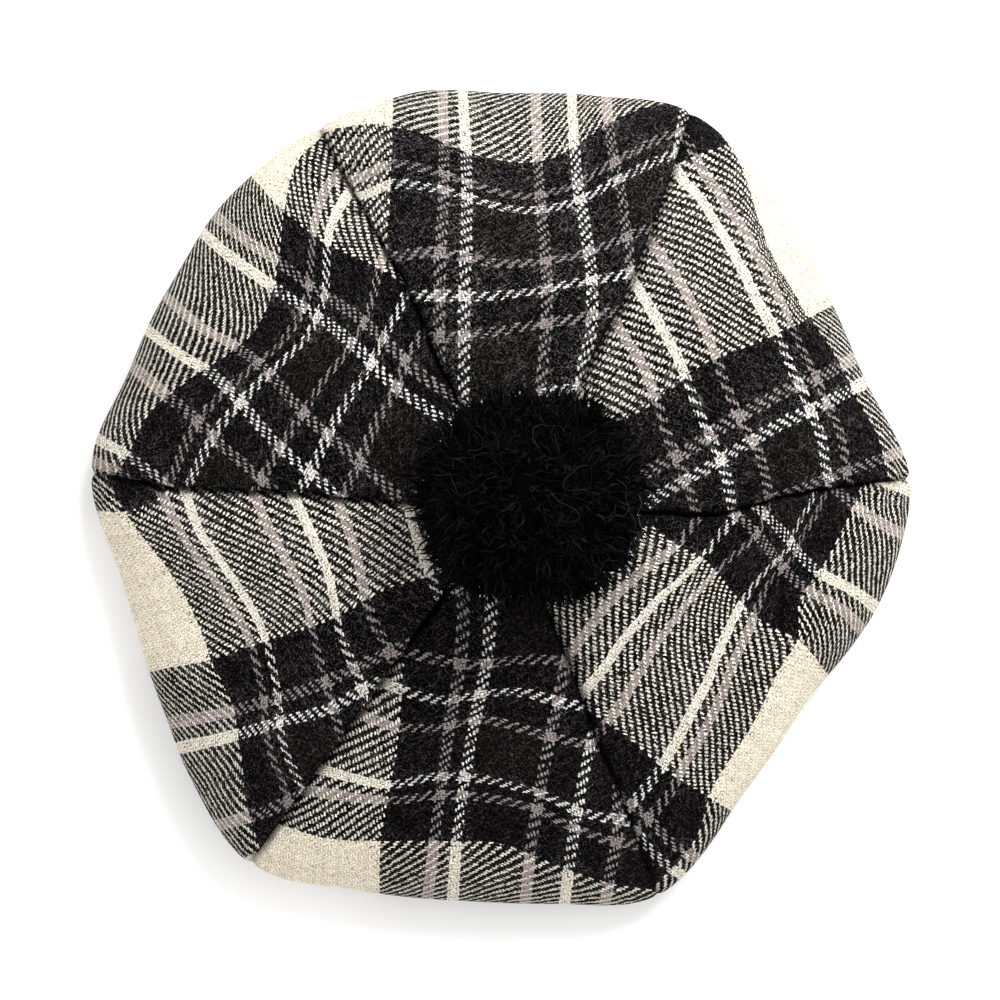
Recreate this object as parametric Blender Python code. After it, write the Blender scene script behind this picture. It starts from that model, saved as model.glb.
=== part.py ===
"""Tam o'shanter: six sewn gores of tartan cloth, a headband and a wool pompom.

The hat stands on its headband on a flat surface, with the crown spread out round it and the
rim hanging a little above the surface.  +Z is up and +Y is the top of the hat as it is laid
out, so the first gore points to +Y and the others follow clockwise, seen from above.  The
origin is under the middle of the crown's outline, on the plane that the headband stands on.
"""

import math
import random
from collections import namedtuple

import bmesh
import bpy
from mathutils import Vector

MM = 0.001

# Driving sizes, in millimetres and degrees.
CLOTH = 2.0                  # wall of the brushed twill, with its nap
SEAM_GAP = 0.3               # free space between two pieces that are sewn together
HUB_HOLE = 3.0               # radius at which the tips of the gores end, under the pompom
BAND_INNER = 88.5            # inner radius of the headband, for a head of 56 cm round
BAND_WALL = 3.0              # headband, two layers of cloth
BAND_HEIGHT = 30.0
BAND_EDGE = 0.6              # roundness of the fold at the foot of the headband
POMPOM_RADIUS = 40.5         # to the ends of its longest locks
POMPOM_CORE = 32.0           # to the roots of its locks
POMPOM_SQUASH = 0.86         # height over width
POMPOM_PRESS = 9.0           # how much of its height is pressed flat on the crown
POMPOM_SHIFT = (7.6, 2.4)    # from the hub to the middle of the pompom, which leans over
LOCK_TAPER = 0.55            # width of a lock near its end over the width of its root
LOCK_LEAN = 1.6              # how far the end of a lock strays sideways

CELLS_ACROSS = 12            # cells of a gore from seam to seam
CELLS_ALONG = 23             # cells of a gore from its tip to the head opening
BAND_CELLS = 72

# The seams, clockwise from the one that begins the first gore.  Each runs from the hub to
# the rim; centre_turn is how far it has turned from its angle at the rim when it reaches the
# hub, and lift is how much higher than the section the rim lies there.  steep_before and
# steep_after say how much of the gore before and after the seam rises out of it: a small
# share is a sharp fold, a large one a soft valley.
Seam = namedtuple("Seam", "angle rim_radius lift centre_turn steep_before steep_after")
SEAMS = (
    Seam(116.9, 144.0, 1.5, -1.0, 0.10, 0.07),
    Seam(65.0, 147.9, -2.0, -9.0, 0.14, 0.12),
    Seam(3.2, 137.5, 2.0, -7.0, 0.12, 0.06),
    Seam(-69.2, 144.4, -1.0, 1.0, 0.13, 0.10),
    Seam(-125.6, 152.5, 1.0, 0.0, 0.16, 0.05),
    Seam(-185.1, 143.5, -1.5, 8.0, 0.12, 0.05),
)

# The rim between two seams: its radius at a quarter, half and three quarters of the gore,
# and its lift at half.
Rim = namedtuple("Rim", "quarter half three_quarters lift")
RIMS = (
    Rim(144.0, 140.6, 142.5, 2.5),
    Rim(139.0, 131.5, 129.5, -1.5),
    Rim(132.0, 123.2, 128.5, 3.5),
    Rim(138.9, 137.8, 143.0, -1.0),
    Rim(143.5, 135.8, 135.5, 2.5),
    Rim(138.5, 138.0, 142.5, 0.5),
)

# The crown's section from the hub to the rim.  reach is the share of the rim's radius;
# crest and valley are the heights in the middle of a gore and in a seam.
Top = namedtuple("Top", "reach crest valley")
TOP = (
    Top(0.00, 61.0, 60.4),
    Top(0.16, 61.5, 59.2),
    Top(0.34, 61.2, 56.4),
    Top(0.54, 58.8, 51.6),
    Top(0.72, 52.4, 44.8),
    Top(0.86, 42.6, 35.6),
    Top(0.95, 32.0, 26.6),
    Top(1.00, 20.0, 17.0),
)

# The section from the rim back to the head opening.  reach is the share of the way from the
# opening's edge out to the rim.
Under = namedtuple("Under", "reach height")
UNDER = (
    Under(0.96, 12.5),
    Under(0.84, 8.2),
    Under(0.62, 7.4),
    Under(0.38, 11.0),
    Under(0.18, 18.5),
    Under(0.06, 26.0),
)

# Dents and puckers of the cloth.  across is the place from a gore's first seam to its last,
# reach the place from hub to rim, and the two spreads are half widths in the same shares.
Dent = namedtuple("Dent", "gore across reach spread_across spread_reach depth")
DENTS = (
    Dent(1, 0.10, 0.78, 0.07, 0.10, 3.4),
    Dent(1, 0.60, 0.70, 0.22, 0.07, 2.2),
    Dent(2, 0.34, 0.52, 0.16, 0.12, 1.8),
    Dent(3, 0.13, 0.62, 0.05, 0.26, 3.6),
    Dent(3, 0.30, 0.80, 0.06, 0.16, 2.4),
    Dent(3, 0.86, 0.82, 0.10, 0.10, 2.2),
    Dent(4, 0.80, 0.55, 0.08, 0.14, 3.2),
    Dent(4, 0.52, 0.74, 0.24, 0.06, 2.4),
    Dent(5, 0.40, 0.66, 0.18, 0.10, 2.0),
    Dent(6, 0.14, 0.70, 0.08, 0.16, 2.6),
    Dent(6, 0.72, 0.60, 0.14, 0.10, 2.2),
)

DENT_FADE = 0.2              # share of the reach over which dents die out towards the rim
MEAN_RIM = 140.0             # the rim that the walls' directions are worked out on

BAND_OUTER = BAND_INNER + BAND_WALL
OPENING = BAND_OUTER + 1.3 * SEAM_GAP         # where a gore's underside turns over the band
TURN_HEIGHT = BAND_HEIGHT + 1.2 * SEAM_GAP    # height of the cloth turned over the band
CROWN_TOP = max(row.crest for row in TOP)


def clear_scene():
    """Removes whatever objects the file holds."""
    for ob in list(bpy.data.objects):
        bpy.data.objects.remove(ob, do_unlink=True)


def smooth(values, at):
    """The Catmull-Rom curve through values, at a place from 0 to len(values) - 1."""
    last = len(values) - 1
    step = min(int(at), last - 1)
    t = at - step
    b, c = values[step], values[step + 1]
    a = values[step - 1] if step > 0 else 2 * b - c
    d = values[step + 2] if step + 2 <= last else 2 * c - b
    return b + 0.5 * t * (c - a + t * (2 * a - 5 * b + 4 * c - d + t * (3 * (b - c) + d - a)))


def rim_radius(gore, across):
    """The rim's radius from the hub, at a share of the way through a gore, 0 to 1."""
    rounds = []
    for number in (gore - 2, gore - 1, gore):
        rim = RIMS[number % 6]
        rounds += [SEAMS[number % 6].rim_radius, rim.quarter, rim.half, rim.three_quarters]
    return smooth(rounds, 4 + 4 * across)


def rim_lift(gore, across):
    """How much higher than the section the rim lies at a share of the way through a gore."""
    lifts = []
    for number in (gore - 2, gore - 1, gore):
        lifts += [SEAMS[number % 6].lift, RIMS[number % 6].lift]
    return smooth(lifts, 2 + 2 * across)


def angle_in_gore(gore, across, reach):
    """The direction from the hub, in radians, of a place in a gore."""
    first = SEAMS[gore - 1]
    last = SEAMS[gore % 6]
    turn = (1 - min(reach, 1.0)) ** 2
    start = first.angle + first.centre_turn * turn
    end = last.angle - (360 if gore == 6 else 0) + last.centre_turn * turn
    return math.radians(start + (end - start) * across)


def puff(gore, across):
    """How far a gore stands out of its seams: 0 in them, about 1 in the middle."""
    rise = 1 - math.exp(-across / SEAMS[gore - 1].steep_after)
    fall = 1 - math.exp(-(1 - across) / SEAMS[gore % 6].steep_before)
    return rise * fall


def dent(gore, across, reach):
    """How deep the cloth is pressed in at a place of a gore's top."""
    depth = 0.0
    for row in DENTS:
        if row.gore == gore:
            u = (across - row.across) / row.spread_across
            v = (reach - row.reach) / row.spread_reach
            depth += row.depth * math.exp(-u * u - v * v)
    held = math.sqrt(max(puff(gore, across), 0.0))
    return depth * held * min(1.0, (1 - reach) / DENT_FADE)


def plain_section(rim, stand):
    """A section without lift or dents, from the tip of a gore to the head opening: a list of
    (radius, height, reach).  The last two points are the turned edge over the band."""
    line = []
    top_cells = CELLS_ALONG - len(UNDER) - 2
    for step in range(top_cells + 1):
        at = (len(TOP) - 1) * step / top_cells
        reach = max(smooth([row.reach for row in TOP], at), HUB_HOLE / rim)
        crest = smooth([row.crest for row in TOP], at)
        valley = smooth([row.valley for row in TOP], at)
        line.append((reach * rim, valley + (crest - valley) * stand, reach))
    for row in UNDER:
        line.append((OPENING + row.reach * (rim - OPENING), row.height, 1.0))
    line.append((OPENING, TURN_HEIGHT, 1.0))
    line.append((BAND_INNER + SEAM_GAP, TURN_HEIGHT, 1.0))
    return line


def section(gore, across):
    """The line that a gore's outer face follows at a share of the way through it."""
    rim = rim_radius(gore, across)
    lift = rim_lift(gore, across)
    line = []
    for radius, height, reach in plain_section(rim, puff(gore, across)):
        if reach < 1.0:
            height += lift * reach ** 3 - dent(gore, across, reach)
        else:
            height += lift * max(radius - OPENING, 0.0) / (rim - OPENING)
        line.append((radius, height, reach))
    return line


def wall_directions():
    """For each point along a gore, the (outward, upward) direction from the inner to the
    outer face of the cloth.  It is the same for all the gores, so they keep apart."""
    line = plain_section(MEAN_RIM, 0.5)
    directions = []
    for step in range(len(line)):
        before = line[max(step - 1, 0)]
        after = line[min(step + 1, len(line) - 1)]
        run = Vector((after[0] - before[0], after[1] - before[1])).normalized()
        directions.append(Vector((-run.y, run.x)))
    directions[-1] = Vector((0.0, -1.0))
    return directions


def hub_place():
    """Where the six seams meet, measured from the middle of the outline's box."""
    xs, ys = [], []
    for gore in range(1, 7):
        for column in range(CELLS_ACROSS + 1):
            across = column / CELLS_ACROSS
            angle = angle_in_gore(gore, across, 1.0)
            xs.append(rim_radius(gore, across) * math.cos(angle))
            ys.append(rim_radius(gore, across) * math.sin(angle))
    return -(min(xs) + max(xs)) / 2, -(min(ys) + max(ys)) / 2


def make_object(name, mesh_source, colour, roughness):
    """Links a finished bmesh as a named object with a material of its own."""
    mesh = bpy.data.meshes.new(name)
    mesh_source.normal_update()
    mesh_source.to_mesh(mesh)
    mesh_source.free()
    ob = bpy.data.objects.new(name, mesh)
    bpy.context.scene.collection.objects.link(ob)
    material = bpy.data.materials.new(name + "_material")
    material.use_nodes = True
    shader = material.node_tree.nodes["Principled BSDF"]
    shader.inputs["Base Color"].default_value = (*colour, 1.0)
    shader.inputs["Roughness"].default_value = roughness
    shader.inputs["Metallic"].default_value = 0.0
    mesh.materials.append(material)
    return ob


def gore_point(gore, across, radius, height, reach):
    """A place of a gore in metres, kept half a gap clear of its two seams."""
    angle = angle_in_gore(gore, across, reach)
    side = 0.5 * SEAM_GAP * (1 - 2 * across)
    x = HUB[0] + radius * math.cos(angle) + side * math.sin(angle)
    y = HUB[1] + radius * math.sin(angle) - side * math.cos(angle)
    return Vector((x, y, height)) * MM


def build_gore(gore):
    """One petal of cloth, from the tip under the pompom round the rim to the opening."""
    directions = wall_directions()
    work = bmesh.new()
    outer, inner = [], []
    for column in range(CELLS_ACROSS + 1):
        across = column / CELLS_ACROSS
        line = section(gore, across)
        outer_column, inner_column = [], []
        for (radius, height, reach), way in zip(line, directions):
            point = gore_point(gore, across, radius, height, reach)
            outer_column.append(work.verts.new(point))
            radius -= CLOTH * way.x
            height -= CLOTH * way.y
            point = gore_point(gore, across, radius, height, reach)
            inner_column.append(work.verts.new(point))
        outer.append(outer_column)
        inner.append(inner_column)
    rows = len(outer[0])
    for i in range(CELLS_ACROSS):
        for j in range(rows - 1):
            corners = (outer[i][j], outer[i + 1][j], outer[i + 1][j + 1], outer[i][j + 1])
            work.faces.new(corners[::-1])
            corners = (inner[i][j], inner[i + 1][j], inner[i + 1][j + 1], inner[i][j + 1])
            work.faces.new(corners)
    for i in range(CELLS_ACROSS):
        work.faces.new((outer[i][0], outer[i + 1][0], inner[i + 1][0], inner[i][0]))
        work.faces.new((inner[i][-1], inner[i + 1][-1], outer[i + 1][-1], outer[i][-1]))
    for j in range(rows - 1):
        work.faces.new((inner[0][j], inner[0][j + 1], outer[0][j + 1], outer[0][j]))
        work.faces.new((outer[-1][j], outer[-1][j + 1], inner[-1][j + 1], inner[-1][j]))
    bmesh.ops.recalc_face_normals(work, faces=work.faces)
    return make_object(f"crown_gore_{gore}", work, (0.045, 0.042, 0.043), 0.9)


def build_headband():
    """The band, turned round the hub, with a rounded fold at its foot."""
    half = BAND_WALL / 2
    middle = BAND_INNER + half
    foot = half - BAND_EDGE
    outline = (
        (middle - half, BAND_HEIGHT),
        (middle - half, BAND_EDGE),
        (middle - foot, 0.0),
        (middle + foot, 0.0),
        (middle + half, BAND_EDGE),
        (middle + half, BAND_HEIGHT),
    )
    work = bmesh.new()
    rings = []
    for cell in range(BAND_CELLS):
        angle = 2 * math.pi * cell / BAND_CELLS
        ring = []
        for radius, height in outline:
            x = HUB[0] + radius * math.cos(angle)
            y = HUB[1] + radius * math.sin(angle)
            ring.append(work.verts.new(Vector((x, y, height)) * MM))
        rings.append(ring)
    for cell in range(BAND_CELLS):
        here, there = rings[cell], rings[(cell + 1) % BAND_CELLS]
        for k in range(len(outline)):
            m = (k + 1) % len(outline)
            work.faces.new((here[k], here[m], there[m], there[k]))
    bmesh.ops.recalc_face_normals(work, faces=work.faces)
    return make_object("headband", work, (0.05, 0.047, 0.048), 0.9)


def build_pompom():
    """A core with a lock of yarn drawn out of each of its facets, pressed flat below."""
    chance = random.Random(11)
    work = bmesh.new()
    bmesh.ops.create_icosphere(work, subdivisions=3, radius=POMPOM_CORE)
    reach = POMPOM_RADIUS - POMPOM_CORE
    for facet in list(work.faces):
        middle = facet.calc_center_median()
        out = middle.normalized()
        lean = Vector([chance.uniform(-1, 1) for _ in range(3)])
        lean -= out * lean.dot(out)
        tip = middle + out * reach * chance.uniform(0.72, 1.05) + lean * LOCK_LEAN
        shoulder = middle + (tip - middle) * 0.55
        roots = list(facet.verts)
        ring = [work.verts.new(shoulder + (v.co - middle) * LOCK_TAPER) for v in roots]
        end = work.verts.new(tip)
        work.faces.remove(facet)
        for k in range(3):
            m = (k + 1) % 3
            work.faces.new((roots[k], roots[m], ring[m], ring[k]))
            work.faces.new((ring[k], ring[m], end))
    seat = CROWN_TOP + SEAM_GAP
    centre_height = seat + POMPOM_SQUASH * POMPOM_RADIUS - POMPOM_PRESS
    for v in work.verts:
        x = HUB[0] + POMPOM_SHIFT[0] + v.co.x
        y = HUB[1] + POMPOM_SHIFT[1] + v.co.y
        v.co = Vector((x, y, max(centre_height + v.co.z * POMPOM_SQUASH, seat))) * MM
    bmesh.ops.recalc_face_normals(work, faces=work.faces)
    return make_object("pompom", work, (0.006, 0.006, 0.007), 0.95)


HUB = hub_place()

clear_scene()
for number in range(1, 7):
    build_gore(number)
build_headband()
build_pompom()
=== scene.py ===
import math
from collections import namedtuple

import bpy
import numpy as np
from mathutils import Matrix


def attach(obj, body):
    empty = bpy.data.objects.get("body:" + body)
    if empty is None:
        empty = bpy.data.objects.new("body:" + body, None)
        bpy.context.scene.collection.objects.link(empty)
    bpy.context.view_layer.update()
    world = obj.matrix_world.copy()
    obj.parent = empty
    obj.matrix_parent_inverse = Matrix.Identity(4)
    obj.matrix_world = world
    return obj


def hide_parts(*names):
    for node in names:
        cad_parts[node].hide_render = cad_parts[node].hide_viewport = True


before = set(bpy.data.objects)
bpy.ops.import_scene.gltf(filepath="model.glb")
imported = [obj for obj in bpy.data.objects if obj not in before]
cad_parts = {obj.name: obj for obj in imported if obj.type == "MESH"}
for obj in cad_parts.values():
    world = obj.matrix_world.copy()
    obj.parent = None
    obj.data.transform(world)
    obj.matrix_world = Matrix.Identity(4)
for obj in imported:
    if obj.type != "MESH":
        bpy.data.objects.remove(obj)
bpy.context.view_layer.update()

# ------------------------------------------------------------------------------------------
# Camera.  The hat lies flat on a table and is seen from straight above through a long lens,
# with +Y at the top of the picture.
# ------------------------------------------------------------------------------------------
MM = 0.001                     # sizes are given in millimetres, and the scene is in metres
PHOTO_SIDE = 1000.0            # the picture is square, in pixels
PIXEL = 0.3436                 # millimetres that a pixel covers at the height of the rim
RIM_HEIGHT = 20.0
VIEW_HEIGHT = 2520.0
VIEW_CENTRE = (0.0, -0.515)    # the place of the hat under the middle of the picture
LENS = 100.0

camera_data = bpy.data.cameras.new("camera")
camera_data.lens = LENS
camera_data.sensor_width = LENS * PHOTO_SIDE * PIXEL / (VIEW_HEIGHT - RIM_HEIGHT)
camera_data.clip_start = 0.1
camera_data.clip_end = 20.0
camera = bpy.data.objects.new("camera", camera_data)
camera.location = (VIEW_CENTRE[0] * MM, VIEW_CENTRE[1] * MM, VIEW_HEIGHT * MM)
bpy.context.scene.collection.objects.link(camera)
bpy.context.scene.camera = camera


def seen_at(x, y, height):
    """The pixel of the picture at which places of the hat, in millimetres, are seen."""
    pixels_per_mm = (VIEW_HEIGHT - RIM_HEIGHT) / (VIEW_HEIGHT - height) / PIXEL
    across = PHOTO_SIDE / 2 + (x - VIEW_CENTRE[0]) * pixels_per_mm
    down = PHOTO_SIDE / 2 - (y - VIEW_CENTRE[1]) * pixels_per_mm
    return np.stack([across, down], axis=-1)


# ------------------------------------------------------------------------------------------
# Crown gores.  Six petals of brushed wool twill in a black, grey and cream tartan, sewn edge
# to edge from the middle of the crown round the rim to the head opening.  The seams pull the
# cloth into puckers and creases, and each petal was cut from another place of the tartan.
# ------------------------------------------------------------------------------------------
CLOTH = 2.0
SEAM_GAP = 0.3
SEWN_GAP = -0.2                # two petals are pressed together where the seam is drawn tight
HUB_HOLE = 3.0
BAND_INNER = 88.5
BAND_WALL = 3.0
BAND_HEIGHT = 30.0
OPENING = BAND_INNER + BAND_WALL + 1.3 * SEAM_GAP
TURN_HEIGHT = BAND_HEIGHT + 1.2 * SEAM_GAP
MEAN_RIM = 140.0
DENT_FADE = 0.2

# The seams clockwise from the one that begins the first gore, as the part's source has them.
# The last four values are the scene's own, in millimetres: how high a seam's puckers are, how
# deep the groove is that it lies in, and how far the petals before and after roll over it.
Seam = namedtuple("Seam", "angle rim_radius lift centre_turn steep_before steep_after "
                          "pucker ditch roll_before roll_after")
SEAMS = (
    Seam(116.9, 144.0, 1.5, -1.0, 0.10, 0.07, 0.9, 2.6, 1.0, 3.4),
    Seam(65.0, 147.9, -2.0, -9.0, 0.14, 0.12, 0.5, 2.4, 3.0, 0.5),
    Seam(3.2, 137.5, 2.0, -7.0, 0.12, 0.06, 1.3, 3.6, 2.6, 2.4),
    Seam(-69.2, 144.4, -1.0, 1.0, 0.13, 0.10, 0.5, 2.0, 1.0, 1.6),
    Seam(-125.6, 152.5, 1.0, 0.0, 0.16, 0.05, 0.8, 3.0, 0.5, 4.2),
    Seam(-185.1, 143.5, -1.5, 8.0, 0.12, 0.05, 0.7, 3.2, 0.5, 4.2),
)

# How far a seam strays clockwise from its line, in millimetres, at each tenth of the rim's
# radius from the hub outwards.
STRAYS = (
    (0, 0, 0, 0.2, 0.4, 1.8, 1.9, 1.4, 1.2, 0.2, 0),
    (0, 0.4, 1.3, 1.9, 1.8, 3.2, 3.7, 3.5, 3.1, 1.9, 0),
    (0, 0.6, 1.8, 3.2, 4.7, 6.4, 4.6, 2.0, 1.3, 0.6, 0),
    (0, 0.2, 0.5, 0.8, 0.6, 0.7, 1.2, 0.2, 0, 0, 0),
    (0, 0, 0, 0, 0, 0, 0, 0, 0, 0, 0),
    (0, 0, 0, 0, 0, 0, -1.3, -2.8, -3.8, -3.2, -2.8),
)

# Places where a seam is caught up tight, and the cloth falls in folds towards it.
Pinch = namedtuple("Pinch", "seam reach depth spread")
PINCHES = (
    Pinch(0, 0.82, 3.4, 9.0),
    Pinch(1, 0.68, 2.0, 8.0),
    Pinch(2, 0.60, 3.0, 8.0),
    Pinch(2, 0.84, 2.0, 7.0),
    Pinch(3, 0.63, 1.6, 7.0),
    Pinch(4, 0.50, 2.8, 8.0),
    Pinch(5, 0.80, 2.6, 8.0),
)

# The rim between two seams: its radius at three places, and how much higher than the section
# it lies half way.
Rim = namedtuple("Rim", "quarter half three_quarters lift")
RIMS = (
    Rim(144.0, 140.6, 142.5, 2.5),
    Rim(139.0, 131.5, 129.5, -1.5),
    Rim(132.0, 123.2, 128.5, 3.5),
    Rim(138.9, 137.8, 143.0, -1.0),
    Rim(143.5, 135.8, 135.5, 2.5),
    Rim(138.5, 138.0, 142.5, 0.5),
)

# The crown's section from the hub to the rim: the share of the rim's radius, the heights in
# the middle of a petal and in a seam, and how many cells the mesh has up to the next row.
Top = namedtuple("Top", "reach crest valley cells")
TOP = (
    Top(0.00, 61.0, 60.4, 3),
    Top(0.16, 61.5, 59.2, 8),
    Top(0.34, 61.2, 56.4, 16),
    Top(0.54, 58.8, 51.6, 15),
    Top(0.72, 52.4, 44.8, 12),
    Top(0.86, 42.6, 35.6, 10),
    Top(0.95, 32.0, 26.6, 8),
    Top(1.00, 20.0, 17.0, 6),
)

# The section from the rim back to the head opening: the share of the way out to the rim, the
# height, and the cells of the mesh.
Under = namedtuple("Under", "reach height cells")
UNDER = (
    Under(0.96, 12.5, 5),
    Under(0.84, 8.2, 8),
    Under(0.62, 7.4, 9),
    Under(0.38, 11.0, 8),
    Under(0.18, 18.5, 5),
    Under(0.06, 26.0, 3),
)

# Dents and puckers of the cloth, as the part's source has them.
Dent = namedtuple("Dent", "gore across reach spread_across spread_reach depth")
DENTS = (
    Dent(1, 0.10, 0.78, 0.07, 0.10, 3.4),
    Dent(1, 0.60, 0.70, 0.22, 0.07, 2.2),
    Dent(2, 0.34, 0.52, 0.16, 0.12, 1.8),
    Dent(3, 0.13, 0.62, 0.05, 0.26, 3.6),
    Dent(3, 0.30, 0.80, 0.06, 0.16, 2.4),
    Dent(3, 0.86, 0.82, 0.10, 0.10, 2.2),
    Dent(4, 0.80, 0.55, 0.08, 0.14, 3.2),
    Dent(4, 0.52, 0.74, 0.24, 0.06, 2.4),
    Dent(5, 0.40, 0.66, 0.18, 0.10, 2.0),
    Dent(6, 0.14, 0.70, 0.08, 0.16, 2.6),
    Dent(6, 0.72, 0.60, 0.14, 0.10, 2.2),
)

NAP_AND_GLINT = (0.85, 0.56, 0.38, 0.36, 0.52, 0.45)   # hair on each gore, and its painted glint
COLUMNS = 72                   # cells of a gore from seam to seam
EDGE_CROWDING = 0.78           # how much narrower the columns are at the seams
DITCH_SPREAD = 1.7             # half the width of a seam's groove
ROLL_AT = 4.0                  # distance from a seam of the cloth that rolls over it
ROLL_SPREAD = 3.2
RIM_SHARE = 0.28               # how much of a seam's groove is left from the rim onwards
PUCKER_SPREAD = 10.0           # how far from a seam its puckers die out
PUCKER_PITCH = (8.0, 12.5)     # millimetres from pucker to pucker
PUCKER_SLANT = 0.35            # how far the puckers lean from square to the seam
STITCH_HOLD = 1.2              # distance from a seam within which its stitches hold the cloth
PINCH_POINT = 1.5              # how pointed the hollow at a pinched place is
ROLL_UNEVEN = 0.25             # share of the roll's height that changes along the seam
ROLL_WIDTH = (12.0, 42.0)      # widths of a gore between which its roll comes in
GROOVE_ROWS = (5.0, 7.0)       # rows of TOP between which a seam's groove goes down to RIM_SHARE
ALLOWANCE_WIDTH = 8.0          # edge of the cloth turned in along a seam, seen inside the hat
ALLOWANCE_RISE = 1.3
ALLOWANCE_EDGE = 1.2           # over which it thins out to its free edge
GORE_SEED = 40                 # each gore's own random numbers start here
GORE_CREASE = 50               # edges sharper than this, in degrees, stay sharp
SWELL = 0.5                    # low, broad unevenness of the cloth
SWELL_PITCH = (26.0, 60.0)


def curve(rows, at):
    """The Catmull-Rom curve through rows of values, at places from 0 to len(rows) - 1."""
    rows = np.asarray(rows, float)
    padded = np.concatenate([2 * rows[:1] - rows[1:2], rows, 2 * rows[-1:] - rows[-2:-1]])
    step = np.clip(np.asarray(at, float).astype(int), 0, len(rows) - 2)
    t = (at - step).reshape(step.shape + (1,) * (rows.ndim - 1))
    a, b, c, d = (padded[step + k] for k in range(4))
    return b + 0.5 * t * (c - a + t * (2 * a - 5 * b + 4 * c - d + t * (3 * (b - c) + d - a)))


def rim_radius(gore, across):
    rounds = []
    for number in (gore - 2, gore - 1, gore):
        rim = RIMS[number % 6]
        rounds += [SEAMS[number % 6].rim_radius, rim.quarter, rim.half, rim.three_quarters]
    return curve(rounds, 4 + 4 * across)


def rim_lift(gore, across):
    lifts = []
    for number in (gore - 2, gore - 1, gore):
        lifts += [SEAMS[number % 6].lift, RIMS[number % 6].lift]
    return curve(lifts, 2 + 2 * across)


def puff(gore, across):
    """How far a gore stands out of its seams: 0 in them, about 1 in the middle."""
    rise = 1 - np.exp(-across / SEAMS[gore - 1].steep_after)
    fall = 1 - np.exp(-(1 - across) / SEAMS[gore % 6].steep_before)
    return rise * fall


def seam_angle(number, reach):
    """The direction from the hub in which a seam lies at a share of the rim's radius."""
    seam = SEAMS[number % 6]
    reach = np.minimum(reach, 1.0)
    turn = seam.angle - 360 * (number // 6) + seam.centre_turn * (1 - reach) ** 2
    stray = curve(STRAYS[number % 6], 10 * reach)
    return turn - np.degrees(stray / (np.maximum(reach, 0.02) * seam.rim_radius))


def dent(gore, across, reach):
    """How deep the cloth is pressed in at places of a gore's top."""
    depth = np.zeros(np.broadcast(across, reach).shape)
    for row in DENTS:
        if row.gore == gore:
            u = (across - row.across) / row.spread_across
            v = (reach - row.reach) / row.spread_reach
            depth += row.depth * np.exp(-u * u - v * v)
    return depth * np.sqrt(puff(gore, across)) * np.clip((1 - reach) / DENT_FADE, 0, 1)


def places_along():
    """Places of the mesh's rows on the section, counted in the rows of TOP and UNDER."""
    places = []
    for number, row in enumerate(TOP + UNDER):
        places += [number + cell / row.cells for cell in range(row.cells)]
    return np.array(places + [len(TOP + UNDER), len(TOP + UNDER) + 1.0])


def section(rim, stand, lift):
    """The outer face's radius, height and reach, a row for each place along, a column for
    each rim radius.  The last row is the edge that is turned in over the headband."""
    top_rows = [(max(row.reach, HUB_HOLE / MEAN_RIM) * rim,
                 row.valley + (row.crest - row.valley) * stand + lift * row.reach ** 3,
                 np.full_like(rim, max(row.reach, HUB_HOLE / MEAN_RIM))) for row in TOP]
    under_rows = [(OPENING + row.reach * (rim - OPENING), row.height + lift * row.reach,
                   np.full_like(rim, 1.0)) for row in UNDER]
    opening_row = [(np.full_like(rim, OPENING), np.full_like(rim, TURN_HEIGHT),
                    np.full_like(rim, 1.0))]
    rows = np.array(top_rows + under_rows + opening_row)
    line = curve(rows, places_along()[:-1])
    edge = line[-1:].copy()
    edge[0, 0] = BAND_INNER + SEAM_GAP
    return np.moveaxis(np.concatenate([line, edge]), 1, 0)


def wall_directions():
    """The (outward, upward) direction through the cloth at each row, alike in all gores."""
    radius, height, _ = section(np.array([MEAN_RIM]), np.array([0.5]), np.array([0.0]))
    run = np.gradient(np.stack([radius[:, 0], height[:, 0]], axis=1), axis=0)
    run /= np.linalg.norm(run, axis=1, keepdims=True)
    ways = np.stack([-run[:, 1], run[:, 0]], axis=1)
    ways[-2:] = ((-0.45, -0.89), (0.0, -1.0))      # the turned-in edge faces down
    return ways


def hub_place():
    """Where the six seams meet, measured from the middle of the outline's box."""
    cells = 12
    xs, ys = [], []
    for gore in range(1, 7):
        across = np.linspace(0, 1, cells + 1)
        angle = gore_angle(gore, across, np.ones_like(across))
        xs.append(rim_radius(gore, across) * np.cos(angle))
        ys.append(rim_radius(gore, across) * np.sin(angle))
    return -(np.min(xs) + np.max(xs)) / 2, -(np.min(ys) + np.max(ys)) / 2


def gore_angle(gore, across, reach):
    """The direction from the hub, in radians, of places in a gore."""
    start = seam_angle(gore - 1, reach)
    end = seam_angle(gore, reach)
    return np.radians(start + (end - start) * across)


HUB = hub_place()

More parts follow.
